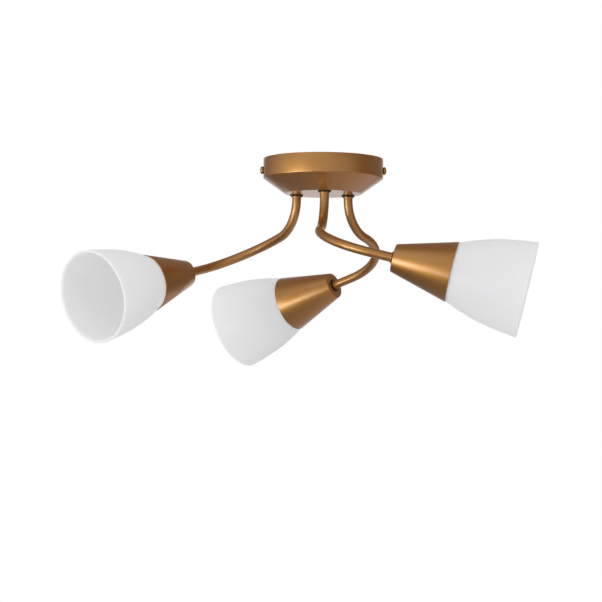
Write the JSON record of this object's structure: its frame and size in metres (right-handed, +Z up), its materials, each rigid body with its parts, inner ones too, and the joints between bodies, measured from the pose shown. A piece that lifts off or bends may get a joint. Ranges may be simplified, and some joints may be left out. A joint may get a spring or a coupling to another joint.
{
  "type": "semi flush ceiling light",
  "caption": "Semi flush ceiling light: a round bronze canopy with swept tubular arms, each swivelling at its seat and ending in a cone cup with a flared opal glass shade.",
  "frame": {"origin": "centre of the ceiling plane, where the strap's upper face and the canopy's rim meet the ceiling", "axes": "+Z up into the ceiling; +X to the right and +Y away from the viewer of the picture; the strap lies along X"},
  "size_m": [0.4595, 0.4056, 0.2027],
  "materials": {
    "bronze_paint": "satin antique bronze, fine brushed streaks",
    "black_steel": "satin black",
    "zinc_steel": "bright zinc plate",
    "brass": "plain",
    "white_plastic": "matte white",
    "holder_plastic": "matte off-white",
    "opal_glass": "satin opal, white through the wall"
  },
  "bodies": {
    "canopy": {"canopy_shell": "bronze_paint", "ceiling_bracket": "zinc_steel", "canopy_screws": "bronze_paint", "canopy_screw_washers": "black_steel", "terminal_block": "white_plastic", "terminal_tubes": "brass", "terminal_screws": "zinc_steel", "block_screws": "zinc_steel", "earth_washer": "brass", "earth_screw": "zinc_steel"},
    "right_arm": {"arm_tube_right": "bronze_paint", "base_washer_right": "black_steel", "base_collar_right": "bronze_paint", "lock_washer_right": "zinc_steel", "lock_nut_right": "zinc_steel", "tip_collar_right": "bronze_paint", "cup_washer_right": "black_steel", "cup_right": "bronze_paint", "cup_lock_washer_right": "zinc_steel", "cup_nut_right": "zinc_steel", "lampholder_body_right": "holder_plastic", "lamp_shell_right": "brass", "lamp_contact_right": "brass", "shade_ring_right": "holder_plastic", "glass_shade_right": "opal_glass"},
    "left_arm": {"arm_tube_left": "bronze_paint", "base_washer_left": "black_steel", "base_collar_left": "bronze_paint", "lock_washer_left": "zinc_steel", "lock_nut_left": "zinc_steel", "tip_collar_left": "bronze_paint", "cup_washer_left": "black_steel", "cup_left": "bronze_paint", "cup_lock_washer_left": "zinc_steel", "cup_nut_left": "zinc_steel", "lampholder_body_left": "holder_plastic", "lamp_shell_left": "brass", "lamp_contact_left": "brass", "shade_ring_left": "holder_plastic", "glass_shade_left": "opal_glass"},
    "back_arm": {"arm_tube_back": "bronze_paint", "base_washer_back": "black_steel", "base_collar_back": "bronze_paint", "lock_washer_back": "zinc_steel", "lock_nut_back": "zinc_steel", "tip_collar_back": "bronze_paint", "cup_washer_back": "black_steel", "cup_back": "bronze_paint", "cup_lock_washer_back": "zinc_steel", "cup_nut_back": "zinc_steel", "lampholder_body_back": "holder_plastic", "lamp_shell_back": "brass", "lamp_contact_back": "brass", "shade_ring_back": "holder_plastic", "glass_shade_back": "opal_glass"}
  },
  "joints": [
    {"name": "right_arm_swivel", "type": "hinge", "parent": "canopy", "child": "right_arm", "pos_m": [0.00141, -0.02997, -0.0349], "axis": [0, 0, 1], "range_deg": [-39, 40]},
    {"name": "left_arm_swivel", "type": "hinge", "parent": "canopy", "child": "left_arm", "pos_m": [-0.02666, 0.01376, -0.0349], "axis": [0, 0, 1], "range_deg": [-23, 56]},
    {"name": "back_arm_swivel", "type": "hinge", "parent": "canopy", "child": "back_arm", "pos_m": [0.02525, 0.01621, -0.0349], "axis": [0, 0, 1], "range_deg": [-67, 12]}
  ]
}
